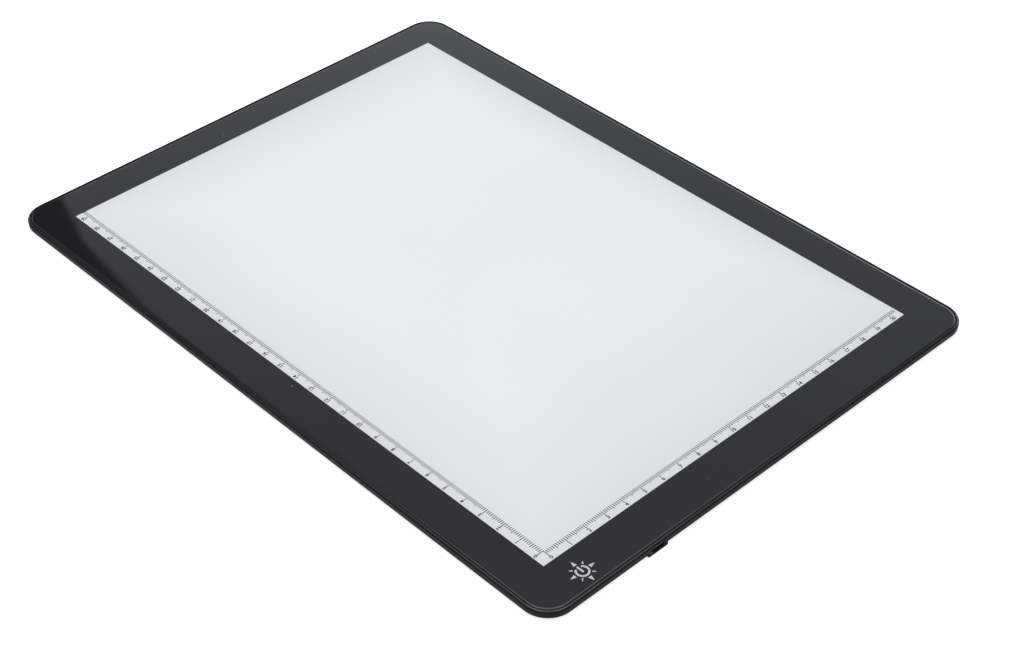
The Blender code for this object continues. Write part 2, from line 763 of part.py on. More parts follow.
def make_chip_part(name, x, y, size, finish):
    """A resistor or capacitor: a body between two end caps that stand a little proud of it."""
    length, width, height = size
    end = length / 2
    neck = end - TERMINAL_LENGTH
    half = [(end, 0.0), (neck, 0.0), (neck, TERMINAL_STEP)]
    sections = half + [(-along, inset) for along, inset in reversed(half)]
    rings = []
    for along, inset in sections:
        at = x + along
        front = y - width / 2 + inset
        rear = y + width / 2 - inset
        low = ON_BOARD_Z + inset
        high = ON_BOARD_Z + height - inset
        rings.append([(at, front, low), (at, rear, low), (at, rear, high), (at, front, high)])
    return sweep(name, rings, finish)


def make_board_parts(chip, ceramic, resistive):
    """Four columns of parts between the touch key and the inlet, and one capacitor past the inlet."""
    start = KEY_X + FOAM_RADIUS
    end = PORT_X - SHELL_WIDTH / 2 - PORT_MARGIN
    touch, smoothing, limiting, driver = spread(start, end, 4)
    middle = BOARD_PLAN.middle()[1]
    make_chip("touch_controller_ic", touch, middle, IC_BODY, IC_PITCH, (3, 3), chip)
    make_chip("led_driver_mosfet", driver, middle, FET_BODY, FET_PITCH, (2, 1), chip)
    make_chip_part("output_capacitor", smoothing, middle, CAPACITOR_SIZE, ceramic)
    for k in range(RESISTOR_COUNT):
        y = middle + RESISTOR_PITCH * (k - (RESISTOR_COUNT - 1) / 2)
        make_chip_part(f"limit_resistor_{k + 1}", limiting, y, RESISTOR_SIZE, resistive)
    past = (PORT_X + SHELL_WIDTH / 2 + PORT_MARGIN + BOARD_PLAN.right) / 2
    front = NOTCH_BACK_Y + CAPACITOR_SIZE[1]
    make_chip_part("input_capacitor", past, front, CAPACITOR_SIZE, ceramic)


def make_touch_foam(finish):
    foam = bmesh.new()
    add_disc(foam, KEY_X, KEY_Y, FOAM_RADIUS, ON_BOARD_Z, MASK_Z - LAYER_GAP, FOAM_STEPS)
    return node_from("touch_foam", foam, finish)


def lead_points(radius):
    """Centre line of a lead: off the board's left end, a quarter turn, then along the strip board."""
    lift = LAYER_GAP + LEAD_DIAMETER / 2
    start_z = BOARD_TOP_Z + lift
    end_z = LED_BOARD_TOP_Z + lift
    flat = [(BOARD_PLAN.left + LEAD_ON_BOARD, LEAD_TURN_Y - radius)]
    for k in range(LEAD_STEPS + 1):
        angle = math.pi / 2 * k / LEAD_STEPS
        flat.append((LEAD_TURN_X - radius * math.sin(angle), LEAD_TURN_Y - radius * math.cos(angle)))
    flat.append((LEAD_TURN_X - radius, LED_BOARD_PLAN.front + LEAD_ON_STRIP))
    run = [0.0]
    for here, there in zip(flat, flat[1:]):
        run.append(run[-1] + math.dist(here, there))
    return [Vector((x, y, start_z + (end_z - start_z) * d / run[-1])) for (x, y), d in zip(flat, run)]


def make_lead(name, radius, finish):
    points = lead_points(radius)
    line = bpy.data.curves.new(name, "CURVE")
    line.dimensions = "3D"
    line.bevel_depth = LEAD_DIAMETER / 2
    line.bevel_resolution = 2
    line.use_fill_caps = True
    spline = line.splines.new("POLY")
    spline.points.add(len(points) - 1)
    for place, point in zip(spline.points, points):
        place.co = (*point, 1.0)
    line.materials.append(finish)
    lead = bpy.data.objects.new(name, line)
    bpy.context.collection.objects.link(lead)
    return lead


def make_feet(finish):
    names = ("foot_front_left", "foot_front_right", "foot_rear_left", "foot_rear_right")
    top = UNDERSIDE_Z + FOOT_RECESS - LAYER_GAP
    for name, (x, y) in zip(names, foot_places()):
        rings = []
        for k in range(ROUND_STEPS + 1):
            angle = math.pi / 2 * k / ROUND_STEPS
            radius = FOOT_RADIUS - FOOT_EDGE * (1 - math.sin(angle))
            rings.append(circle(x, y, radius, FOOT_EDGE * (1 - math.cos(angle)), FOOT_STEPS))
        rings.append(circle(x, y, FOOT_RADIUS, top, FOOT_STEPS))
        sweep(name, rings, finish)


def smooth_by_angle():
    """A node group that shades a mesh smooth, but for the edges that turn more than SHARP_ANGLE."""
    group = bpy.data.node_groups.new("smooth_by_angle", "GeometryNodeTree")
    for side in ("INPUT", "OUTPUT"):
        group.interface.new_socket("Geometry", in_out=side, socket_type="NodeSocketGeometry")
    start = group.nodes.new("NodeGroupInput")
    end = group.nodes.new("NodeGroupOutput")
    turn = group.nodes.new("GeometryNodeInputMeshEdgeAngle")
    gentle = group.nodes.new("FunctionNodeCompare")
    gentle.data_type = "FLOAT"
    gentle.operation = "LESS_EQUAL"
    gentle.inputs["B"].default_value = SHARP_ANGLE
    faces = group.nodes.new("GeometryNodeSetShadeSmooth")
    edges = group.nodes.new("GeometryNodeSetShadeSmooth")
    edges.domain = "EDGE"
    group.links.new(start.outputs["Geometry"], faces.inputs["Geometry"])
    group.links.new(faces.outputs["Geometry"], edges.inputs["Geometry"])
    group.links.new(turn.outputs["Unsigned Angle"], gentle.inputs["A"])
    group.links.new(gentle.outputs["Result"], edges.inputs["Shade Smooth"])
    group.links.new(edges.outputs["Geometry"], end.inputs["Geometry"])
    return group


def shade():
    """Smooths the round faces of every piece and keeps its flat faces flat."""
    group = smooth_by_angle()
    for node in bpy.data.objects:
        if node.type != "MESH" or node.hide_render:
            continue
        node.modifiers.new("smooth_by_angle", "NODES").node_group = group
        flat = node.modifiers.new("flat_faces", "WEIGHTED_NORMAL")
        flat.keep_sharp = True


def main():
    clear_scene()
    black_abs = material("black_abs", (0.020, 0.020, 0.021), 0.38)
    clear_acrylic = material("clear_acrylic", (0.92, 0.94, 0.96), 0.05, alpha=0.18)
    black_ink = material("black_ink", (0.016, 0.016, 0.018), 0.25)
    white_film = material("white_film", (0.82, 0.84, 0.86), 0.55)
    white_tape = material("white_tape", (0.78, 0.78, 0.76), 0.7)
    board_white = material("board_white", (0.72, 0.73, 0.72), 0.5)
    board_green = material("board_green", (0.02, 0.12, 0.05), 0.45)
    led_white = material("led_white", (0.80, 0.78, 0.66), 0.5)
    steel = material("plated_steel", (0.62, 0.62, 0.60), 0.28, metallic=1.0)
    gold = material("gold_plate", (0.85, 0.62, 0.28), 0.3, metallic=1.0)
    black_mould = material("black_mould", (0.018, 0.018, 0.018), 0.55)
    ceramic = material("capacitor_ceramic", (0.40, 0.28, 0.17), 0.5)
    resistive = material("resistor_glaze", (0.03, 0.03, 0.035), 0.35)
    foam = material("conductive_foam", (0.10, 0.10, 0.10), 0.95)
    rubber = material("black_rubber", (0.016, 0.016, 0.016), 0.85)
    red_cover = material("red_insulation", (0.45, 0.02, 0.015), 0.4)
    black_cover = material("black_insulation", (0.02, 0.02, 0.02), 0.4)

    make_rear_cover(black_abs)
    make_front_panel(clear_acrylic)
    make_border_mask(black_ink)
    make_panel_tape(white_tape)
    make_light_stack(clear_acrylic, white_film, white_tape)
    make_led_strip(board_white, white_tape, led_white)
    make_control_board(board_green)
    make_socket_shell(steel)
    make_tongue(black_mould)
    make_contacts(gold)
    make_board_parts(black_mould, ceramic, resistive)
    make_touch_foam(foam)
    make_lead("led_lead_positive", LEAD_BEND, red_cover)
    make_lead("led_lead_negative", LEAD_BEND + LEAD_PITCH, black_cover)
    make_feet(rubber)
    shade()


main()
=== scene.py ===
"""The light pad dressed for the eye: finishes, scales, key sign, stage, lamp and camera. All is in metres."""
import json
import math

import bmesh
import bpy
from mathutils import Matrix, Vector


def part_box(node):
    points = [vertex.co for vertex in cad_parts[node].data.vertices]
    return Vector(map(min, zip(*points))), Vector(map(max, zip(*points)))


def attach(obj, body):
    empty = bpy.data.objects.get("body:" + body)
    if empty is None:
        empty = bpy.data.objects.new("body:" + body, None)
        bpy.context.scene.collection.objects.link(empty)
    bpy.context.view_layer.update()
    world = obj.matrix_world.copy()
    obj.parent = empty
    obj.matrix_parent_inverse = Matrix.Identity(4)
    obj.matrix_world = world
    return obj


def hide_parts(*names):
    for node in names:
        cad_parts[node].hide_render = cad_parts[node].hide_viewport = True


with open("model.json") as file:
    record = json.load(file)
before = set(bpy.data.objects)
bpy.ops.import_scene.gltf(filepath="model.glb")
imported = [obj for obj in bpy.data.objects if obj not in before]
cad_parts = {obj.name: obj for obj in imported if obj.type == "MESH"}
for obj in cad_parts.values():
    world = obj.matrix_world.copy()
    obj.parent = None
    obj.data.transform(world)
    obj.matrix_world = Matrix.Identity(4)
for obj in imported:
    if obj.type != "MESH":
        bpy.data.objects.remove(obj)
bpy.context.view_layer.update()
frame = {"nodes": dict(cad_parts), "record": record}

MM = 0.001
NODES = frame["nodes"]

# Plan of the pad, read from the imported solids
PAD_LOW, PAD_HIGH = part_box("rear_cover")
SHEET_LOW, SHEET_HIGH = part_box("front_panel")
GUIDE_LOW, GUIDE_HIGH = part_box("light_guide_plate")

# The window lies this far inside the light guide
GUIDE_OVERLAP = 3.0 * MM
WINDOW_LOW = Vector((GUIDE_LOW.x + GUIDE_OVERLAP, GUIDE_LOW.y + GUIDE_OVERLAP))
WINDOW_HIGH = Vector((GUIDE_HIGH.x - GUIDE_OVERLAP, GUIDE_HIGH.y - GUIDE_OVERLAP))

# The sheet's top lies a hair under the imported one, so that the prints fit inside the solid's height
PAD_CORNER = 12.0 * MM
CORNER_STEPS = 24
SHEET_TOP = SHEET_HIGH.z - 0.025 * MM
EDGE_BAND = 1.2 * MM
EDGE_ROUND_WIDTH = 0.95 * MM
EDGE_CROWN_DROP = 0.12 * MM
EDGE_ROUND_DROP = 0.32 * MM
EDGE_ROUND_POWER = 8
EDGE_ROUND_STEPS = 14
EDGE_CHAMFER = 0.1 * MM
INK_SUNK = 0.005 * MM
INK_PROUD = 0.014 * MM

# Printed scales, measured from the window's corner by the key
SCALE_ZERO = (5.3 * MM, 5.7 * MM)
SCALE_LINE = 5.5 * MM
FRONT_PITCH = 0.997 * MM
SIDE_PITCH = 0.995 * MM
TICK_LENGTHS = (1.85 * MM, 2.4 * MM, 2.9 * MM)
TICK_STROKE = 0.34 * MM
FRONT_TICKS = 205
SIDE_TICKS = 295
NUMBER_HEIGHT = 1.8 * MM
NUMBER_WEIGHT = 0.065 * MM
# A figure's height as a share of the font's size
FIGURE_SHARE = 0.72
FRONT_NUMBER_FROM_EDGE = 0.66 * MM
SIDE_NUMBER_FROM_EDGE = 2.3 * MM

# The key's sign lies over the foam that feels the finger, measured from the same corner
SIGN_FROM_WINDOW = (8.5 * MM, -11.55 * MM)
SIGN_RING = 2.5 * MM
SIGN_HALF_STROKE = 0.43 * MM
# The bar's foot and head, from the ring's middle
SIGN_BAR = (-0.24 * MM, 2.61 * MM)
# The ring is open by this many degrees to each side of its top
SIGN_GAP = 40
# Corners of a ray that points along x, in millimetres. Broad arrows and thin darts take turns
SIGN_ARROW = ((3.72, -0.87), (6.25, 0.0), (3.72, 0.87))
SIGN_DART = ((3.65, -0.4), (5.25, -0.04), (5.25, 0.04), (3.65, 0.4))
SIGN_RAYS = 8
RING_STEPS = 40
CAP_STEPS = 8

# Painted shade: the window's white is painted darker towards its edges, over this distance from an edge. A
# factor under 1 stretches the fall at an edge
# and one over 1 shortens it: first for the edges by the key, left and front, then for the right and rear ones
WINDOW_SHADE_REACH = 30 * MM
WINDOW_SHADE_FROM_LOW = (0.6, 0.4, 1.0)
WINDOW_SHADE_FROM_HIGH = (1.4, 0.8, 1.0)
WINDOW_SHADED_EDGE = "#D0D2D3"
WINDOW_UNSHADED_MIDDLE = "#DEE0E3"
WINDOW_SHADE_TONES = ((0.083, "#D4D6D8"), (0.15, "#D6D8DA"), (0.27, "#D8DADD"), (0.53, "#DBDDE0"))

# Edges that turn by more than this stay sharp
SHARP = math.radians(34)
# A face that looks up this squarely is a level top, which mirrors flat right to its rim
LEVEL = 0.99999
WELD = 0.001 * MM


def colour(code):
    """Linear red, green, blue and alpha of an sRGB hex value."""
    parts = [int(code[i:i + 2], 16) / 255 for i in (1, 3, 5)]
    return (*[p / 12.92 if p <= 0.04045 else ((p + 0.055) / 1.055) ** 2.4 for p in parts], 1.0)


def add(tree, kind, inputs=None, **settings):
    """A node with its settings made and its inputs filled, each from a value or another node's socket."""
    made = tree.nodes.new(kind)
    for name, value in settings.items():
        setattr(made, name, value)
    for key, value in (inputs or {}).items():
        if isinstance(value, bpy.types.NodeSocket):
            tree.links.new(value, made.inputs[key])
        else:
            made.inputs[key].default_value = value
    return made


def finish(name, **sockets):
    """A material whose Principled shader has these sockets set. Returns the material, its tree and shader."""
    made = bpy.data.materials.new(name)
    made.use_nodes = True
    shader = made.node_tree.nodes["Principled BSDF"]
    for key, value in sockets.items():
        shader.inputs[key.replace("_", " ")].default_value = value
    return made, made.node_tree, shader


def place_on(tree):
    return add(tree, "ShaderNodeTexCoord").outputs["Object"]


# Finishes


def moulded_abs():
    """Black ABS, moulded in a fine satin tool: a sheen with a barely felt grain and faint rubbed spots."""
    made, tree, shader = finish("black_abs_moulded", Roughness=0.13, IOR=1.42)
    at = place_on(tree)
    grain = add(tree, "ShaderNodeTexNoise", {"Vector": at, "Scale": 1 / (0.35 * MM), "Detail": 3.0})
    rubbed = add(tree, "ShaderNodeTexNoise", {"Vector": at, "Scale": 1 / (22 * MM), "Detail": 5.0})
    shade = add(tree, "ShaderNodeValToRGB", {"Fac": rubbed.outputs["Fac"]})
    shade.color_ramp.elements[0].color = colour("#111113")
    shade.color_ramp.elements[1].color = colour("#171719")
    gloss = add(tree, "ShaderNodeMapRange", {
        "Value": rubbed.outputs["Fac"], "From Min": 0.3, "From Max": 0.7, "To Min": 0.11, "To Max": 0.17})
    bump = add(tree, "ShaderNodeBump", {
        "Height": grain.outputs["Fac"], "Strength": 0.12, "Distance": 0.02 * MM})
    tree.links.new(shade.outputs["Color"], shader.inputs["Base Color"])
    tree.links.new(gloss.outputs["Result"], shader.inputs["Roughness"])
    tree.links.new(bump.outputs["Normal"], shader.inputs["Normal"])
    return made


def border_gloss():
    """Black silk-screen seen through polished acrylic: a deep gloss with dust specks and a faint waviness."""
    made, tree, shader = finish("black_print_under_acrylic", Roughness=0.02, IOR=1.49)
    at = place_on(tree)
    # One speck may lie in each cell of 9 mm, and few do. They are up to 0.6 mm wide, coarse enough to show
    specks = add(tree, "ShaderNodeTexVoronoi", {"Vector": at, "Scale": 1 / (9 * MM)}, voronoi_dimensions="2D")
    chosen = add(tree, "ShaderNodeSeparateColor", {"Color": specks.outputs["Color"]})
    size = add(tree, "ShaderNodeMapRange", {
        "Value": chosen.outputs["Red"], "From Min": 0.94, "From Max": 1.0, "To Min": 0.0, "To Max": 0.032})
    near = add(tree, "ShaderNodeMath", {0: specks.outputs["Distance"], 1: size.outputs["Result"]},
               operation="LESS_THAN")
    tint = add(tree, "ShaderNodeMix", {
        "Factor": near.outputs["Value"], "A": colour("#18181B"), "B": colour("#77777B")}, data_type="RGBA")
    haze = add(tree, "ShaderNodeTexNoise", {"Vector": at, "Scale": 1 / (30 * MM), "Detail": 6.0})
    gloss = add(tree, "ShaderNodeMapRange", {
        "Value": haze.outputs["Fac"], "From Min": 0.3, "From Max": 0.75, "To Min": 0.012, "To Max": 0.035})
    wave = add(tree, "ShaderNodeTexNoise", {"Vector": at, "Scale": 1 / (60 * MM), "Detail": 1.0})
    bump = add(tree, "ShaderNodeBump", {
        "Height": wave.outputs["Fac"], "Strength": 0.25, "Distance": 0.05 * MM})
    tree.links.new(tint.outputs["Result"], shader.inputs["Base Color"])
    tree.links.new(gloss.outputs["Result"], shader.inputs["Roughness"])
    tree.links.new(bump.outputs["Normal"], shader.inputs["Normal"])
    return made


def acrylic_edge():
    """Flame-polished acrylic edge over the dark ledge: nearly black, wet-looking, near the print's tone."""
    made, tree, shader = finish("polished_acrylic_edge", Roughness=0.06, IOR=1.49)
    drag = add(tree, "ShaderNodeTexNoise", {"Vector": place_on(tree), "Scale": 1 / (1.5 * MM), "Detail": 2.0})
    tint = add(tree, "ShaderNodeMix", {
        "Factor": drag.outputs["Fac"], "A": colour("#161618"), "B": colour("#1E1E21")}, data_type="RGBA")
    tree.links.new(tint.outputs["Result"], shader.inputs["Base Color"])
    return made


def window_white():
    """Opal film behind clear acrylic: an even cool white, with painted shade that darkens it a little towards
    its four edges.
    """
    made, tree, shader = finish("opal_film_under_acrylic", Roughness=0.07, IOR=1.49)
    at = place_on(tree)
    low = add(tree, "ShaderNodeVectorMath", {0: at, 1: (*WINDOW_LOW, 0.0)}, operation="SUBTRACT")
    high = add(tree, "ShaderNodeVectorMath", {0: (*WINDOW_HIGH, 0.0), 1: at}, operation="SUBTRACT")
    from_low = add(tree, "ShaderNodeVectorMath", {0: low.outputs["Vector"], 1: WINDOW_SHADE_FROM_LOW},
                   operation="MULTIPLY")
    from_high = add(tree, "ShaderNodeVectorMath", {0: high.outputs["Vector"], 1: WINDOW_SHADE_FROM_HIGH},
                    operation="MULTIPLY")
    least = add(tree, "ShaderNodeVectorMath", {
        0: from_low.outputs["Vector"], 1: from_high.outputs["Vector"]}, operation="MINIMUM")
    sides = add(tree, "ShaderNodeSeparateXYZ", {"Vector": least.outputs["Vector"]})
    nearest = add(tree, "ShaderNodeMath", {0: sides.outputs["X"], 1: sides.outputs["Y"]}, operation="MINIMUM")
    window_shade_reach = add(tree, "ShaderNodeMapRange", {"Value": nearest.outputs["Value"], "From Max": WINDOW_SHADE_REACH})
    # Painted shade: the white is painted darker near the window's edges than in its middle
    painted_window_shade = add(tree, "ShaderNodeValToRGB", {"Fac": window_shade_reach.outputs["Result"]})
    painted_window_shade.color_ramp.elements[0].color = colour(WINDOW_SHADED_EDGE)
    painted_window_shade.color_ramp.elements[1].color = colour(WINDOW_UNSHADED_MIDDLE)
    for where, code in WINDOW_SHADE_TONES:
        painted_window_shade.color_ramp.elements.new(where).color = colour(code)
    cloud = add(tree, "ShaderNodeTexNoise", {"Vector": at, "Scale": 1 / (70 * MM), "Detail": 4.0})
    veil = add(tree, "ShaderNodeMapRange", {
        "Value": cloud.outputs["Fac"], "From Min": 0.3, "From Max": 0.7, "To Min": 0.985, "To Max": 1.0})
    tint = add(tree, "ShaderNodeVectorMath", {0: painted_window_shade.outputs["Color"], 1: veil.outputs["Result"]},
               operation="MULTIPLY")
    tree.links.new(tint.outputs["Vector"], shader.inputs["Base Color"])
    return made


def scale_ink():
    """Dark grey screen ink: thin and even, seen through the sheet's gloss."""
    made, tree, shader = finish("grey_scale_ink", Roughness=0.12, IOR=1.49)
    cover = add(tree, "ShaderNodeTexNoise", {
        "Vector": place_on(tree), "Scale": 1 / (0.6 * MM), "Detail": 2.0})
    tint = add(tree, "ShaderNodeMix", {
        "Factor": cover.outputs["Fac"], "A": colour("#121214"), "B": colour("#1C1C1F")}, data_type="RGBA")
    tree.links.new(tint.outputs["Result"], shader.inputs["Base Color"])
    return made


def sign_ink():
    """Light grey screen ink for the key's sign: flat, slightly uneven cover."""
    made, tree, shader = finish("pale_sign_ink", Roughness=0.12, IOR=1.49)
    cover = add(tree, "ShaderNodeTexNoise", {
        "Vector": place_on(tree), "Scale": 1 / (0.8 * MM), "Detail": 3.0})
    tint = add(tree, "ShaderNodeMix", {
        "Factor": cover.outputs["Fac"], "A": colour("#B2B2B8"), "B": colour("#C0C0C5")}, data_type="RGBA")
    tree.links.new(tint.outputs["Result"], shader.inputs["Base Color"])
    return made


def grained(name, pale, dark, grain_size, bump_height, **sockets):
    """A finish whose tone wanders between two colours over a grain of this size, with that grain's relief."""
    made, tree, shader = finish(name, **sockets)
    grain = add(tree, "ShaderNodeTexNoise", {
        "Vector": place_on(tree), "Scale": 1 / grain_size, "Detail": 4.0})
    tint = add(tree, "ShaderNodeMix", {
        "Factor": grain.outputs["Fac"], "A": colour(dark), "B": colour(pale)}, data_type="RGBA")
    bump = add(tree, "ShaderNodeBump", {
        "Height": grain.outputs["Fac"], "Strength": 0.4, "Distance": bump_height})
    tree.links.new(tint.outputs["Result"], shader.inputs["Base Color"])
    tree.links.new(bump.outputs["Normal"], shader.inputs["Normal"])
    return made


FINISHES = {
    "black_abs": moulded_abs(),
    # Cast acrylic with its faint bluish body
    "clear_acrylic": grained("cast_acrylic_guide", "#F4F8FA", "#ECF2F5", 20 * MM, 0.002 * MM,
                             Roughness=0.08, IOR=1.49, Transmission_Weight=1.0),
    # Screen ink dries to a fine orange peel
    "black_ink": grained("black_mask_ink", "#19191B", "#131315", 0.5 * MM, 0.004 * MM, Roughness=0.45),
    # Filled polyester film, matt and fine
    "white_film": grained("white_polyester_film", "#F1F2F2", "#E7E9EA", 0.8 * MM, 0.003 * MM, Roughness=0.5),
    # Foamed adhesive tape with a soft, cloudy face
    "white_tape": grained("white_foam_tape", "#EAE9E4", "#DEDDD7", 0.6 * MM, 0.01 * MM, Roughness=0.7),
    # White solder mask over a strip board
    "board_white": grained("white_solder_mask", "#ECEDEA", "#E2E4E0", 1.5 * MM, 0.004 * MM, Roughness=0.4),
    # Green solder mask, glossy over woven glass
    "board_green": grained("green_solder_mask", "#1E6B3C", "#175630", 1.2 * MM, 0.006 * MM, Roughness=0.32),
    # Cured phosphor in a white cup
    "led_white": grained("phosphor_white", "#F3EFC9", "#E9E3B4", 0.3 * MM, 0.004 * MM, Roughness=0.45),
    # Tin-plated steel, folded, with fine drawing marks
    "plated_steel": grained("tin_plated_steel", "#9B9D9F", "#85878A", 0.25 * MM, 0.004 * MM,
                            Roughness=0.28, Metallic=1.0),
    # Gold flash over nickel
    "gold_plate": grained("gold_flash", "#E4BC66", "#D2A850", 0.3 * MM, 0.002 * MM,
                          Roughness=0.25, Metallic=1.0),
    # Filled resin of the inlet's tongue and the chips' bodies
    "black_mould": grained("black_moulded_resin", "#202022", "#161618", 0.25 * MM, 0.01 * MM, Roughness=0.5),
    # Fired ceramic with tinned ends
    "capacitor_ceramic": grained("tan_ceramic", "#A98A63", "#98794F", 0.4 * MM, 0.006 * MM, Roughness=0.5),
    # Black glaze over a film resistor
    "resistor_glaze": grained("black_resistor_glaze", "#26262A", "#1B1B1E", 0.4 * MM, 0.004 * MM,
                              Roughness=0.3),
    # Open-cell conductive foam, dark and dusty
    "conductive_foam": grained("carbon_foam", "#3A3A3C", "#232325", 0.35 * MM, 0.05 * MM, Roughness=0.9),
    # Soft rubber, dull with a fine bloom
    "black_rubber": grained("soft_rubber", "#242425", "#1A1A1B", 0.4 * MM, 0.02 * MM, Roughness=0.75),
    # Soft PVC insulation
    "red_insulation": grained("red_pvc", "#B3261E", "#9C1E18", 0.8 * MM, 0.004 * MM, Roughness=0.45),
    "black_insulation": grained("black_pvc", "#222224", "#18181A", 0.8 * MM, 0.004 * MM, Roughness=0.45),
}
BORDER_FINISH = border_gloss()
EDGE_FINISH = acrylic_edge()
WINDOW_FINISH = window_white()
SCALE_FINISH = scale_ink()
SIGN_FINISH = sign_ink()


# Making pieces


def piece(name, bm, material, slot, *nodes):
    """A finished piece of the object: faces out, smooth where its edges turn little, riding on the pad."""
    bmesh.ops.recalc_face_normals(bm, faces=bm.faces)
    for face in bm.faces:
        face.smooth = True
    for edge in bm.edges:
        edge.smooth = (len(edge.link_faces) == 2 and edge.calc_face_angle(0.0) < SHARP
                       and not any(face.normal.z > LEVEL for face in edge.link_faces))
    mesh = bpy.data.meshes.new(name)
    bm.to_mesh(mesh)
    bm.free()
    mesh.materials.append(material)
    made = bpy.data.objects.new(name, mesh)
    bpy.context.scene.collection.objects.link(made)
    level = made.modifiers.new("flat_faces", "WEIGHTED_NORMAL")
    level.keep_sharp = True
    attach(made, "root")
    if nodes:
        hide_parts(*nodes)
    return made


def smooth_copy(node, name, material, slot):
    """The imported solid's own shape with its triangles joined and its roundings smooth."""
    source = NODES[node].data
    bm = bmesh.new()
    spots = [bm.verts.new(v.co) for v in source.vertices]
    for face in source.polygons:
        bm.faces.new([spots[i] for i in face.vertices])
    bmesh.ops.remove_doubles(bm, verts=bm.verts, dist=WELD)
    return piece(name, bm, material, slot, node)


def prism(bm, outline, low, high):
    """A flat plate with the given outline of x, y points between two heights."""
    lower = [bm.verts.new((x, y, low)) for x, y in outline]
    upper = [bm.verts.new((x, y, high)) for x, y in outline]
    bm.faces.new(lower[::-1])
    bm.faces.new(upper)
    for i in range(len(outline)):
        j = (i + 1) % len(outline)
        bm.faces.new((lower[i], lower[j], upper[j], upper[i]))


def arc(x, y, radius, start, end, steps):
    """Points of an arc in degrees, from start to end."""
    turn = math.radians(end - start) / steps
    first = math.radians(start)
    return [(x + radius * math.cos(first + turn * k), y + radius * math.sin(first + turn * k))
            for k in range(steps + 1)]


def evaluated(made):
    """The plain mesh that an object's modifiers make. The object itself is removed."""
    graph = bpy.context.evaluated_depsgraph_get()
    mesh = bpy.data.meshes.new_from_object(made.evaluated_get(graph), depsgraph=graph)
    bpy.data.objects.remove(made, do_unlink=True)
    return mesh


def socket_of(tree, name):
    """The identifier by which a modifier knows one of the tree's inputs."""
    return next(i.identifier for i in tree.interface.items_tree if i.item_type == "SOCKET" and i.name == name)


def grown(tree, name, values):
    """The mesh that a Geometry Nodes tree makes with these values in its named inputs."""
    made = bpy.data.objects.new(name, bpy.data.meshes.new(name))
    bpy.context.scene.collection.objects.link(made)
    step = made.modifiers.new(name, "NODES")
    step.node_group = tree
    for key, value in values.items():
        step[socket_of(tree, key)] = value
    return evaluated(made)


def tree_with(name, inputs):
    """An empty Geometry Nodes tree with a geometry output and the given named inputs."""
    tree = bpy.data.node_groups.new(name, "GeometryNodeTree")
    tree.interface.new_socket("Geometry", in_out="OUTPUT", socket_type="NodeSocketGeometry")
    for key, kind in inputs:
        tree.interface.new_socket(key, in_out="INPUT", socket_type=f"NodeSocket{kind}")
    return tree


def swept_edge_tree():
    """A section carried round a rectangle with filleted corners. The section's x points outwards."""
    tree = tree_with("swept_edge", (
        ("Width", "Float"), ("Length", "Float"), ("Corner", "Float"), ("Corner Steps", "Int"),
        ("Section", "Object"), ("Finish", "Material")))
    given = add(tree, "NodeGroupInput").outputs
    frame_line = add(tree, "GeometryNodeCurvePrimitiveQuadrilateral", {
        "Width": given["Width"], "Height": given["Length"]})
    path = add(tree, "GeometryNodeFilletCurve", {
        "Curve": frame_line.outputs["Curve"], "Radius": given["Corner"], "Count": given["Corner Steps"]},
        mode="POLY")
    level = add(tree, "GeometryNodeSetCurveNormal", {"Curve": path.outputs["Curve"]}, mode="Z_UP")
    section = add(tree, "GeometryNodeObjectInfo", {"Object": given["Section"]})
    skin = add(tree, "GeometryNodeCurveToMesh", {
        "Curve": level.outputs["Curve"], "Profile Curve": section.outputs["Geometry"]})
    single = add(tree, "GeometryNodeRealizeInstances", {"Geometry": skin.outputs["Mesh"]})
    coated = add(tree, "GeometryNodeSetMaterial", {
        "Geometry": single.outputs["Geometry"], "Material": given["Finish"]})
    add(tree, "NodeGroupOutput", {"Geometry": coated.outputs["Geometry"]})
    return tree


def ticks_tree():
    """A ruler's ticks along x from zero, pointing down in y: short, longer at five and longest at ten."""
    tree = tree_with("scale_ticks", (
        ("Ticks", "Int"), ("Pitch", "Float"), ("Short", "Float"), ("Middle", "Float"), ("Long", "Float"),
        ("Stroke", "Float"), ("Thickness", "Float"), ("Finish", "Material")))
    given = add(tree, "NodeGroupInput").outputs
    step = add(tree, "ShaderNodeCombineXYZ", {"X": given["Pitch"]})
    row = add(tree, "GeometryNodeMeshLine", {"Count": given["Ticks"], "Offset": step.outputs["Vector"]})
    order = add(tree, "GeometryNodeInputIndex").outputs["Index"]
    length = given["Short"]
    for every, longer in ((5.0, "Middle"), (10.0, "Long")):
        rest = add(tree, "ShaderNodeMath", {0: order, 1: every}, operation="MODULO")
        hit = add(tree, "ShaderNodeMath", {0: rest.outputs["Value"], 1: 0.5}, operation="LESS_THAN")
        chosen = add(tree, "GeometryNodeSwitch", {
            "Switch": hit.outputs["Value"], "False": length, "True": given[longer]}, input_type="FLOAT")
        length = chosen.outputs["Output"]
    drop = add(tree, "ShaderNodeMath", {0: length, 1: -0.5}, operation="MULTIPLY")
    shift = add(tree, "ShaderNodeCombineXYZ", {"Y": drop.outputs["Value"]})
    moved = add(tree, "GeometryNodeSetPosition", {
        "Geometry": row.outputs["Mesh"], "Offset": shift.outputs["Vector"]})
    block = add(tree, "GeometryNodeMeshCube")
    size = add(tree, "ShaderNodeCombineXYZ", {"X": given["Stroke"], "Y": length, "Z": given["Thickness"]})
    marks = add(tree, "GeometryNodeInstanceOnPoints", {
        "Points": moved.outputs["Geometry"], "Instance": block.outputs["Mesh"],
        "Scale": size.outputs["Vector"]})
    single = add(tree, "GeometryNodeRealizeInstances", {"Geometry": marks.outputs["Instances"]})
    coated = add(tree, "GeometryNodeSetMaterial", {
        "Geometry": single.outputs["Geometry"], "Material": given["Finish"]})
    add(tree, "NodeGroupOutput", {"Geometry": coated.outputs["Geometry"]})
    return tree


# The front sheet


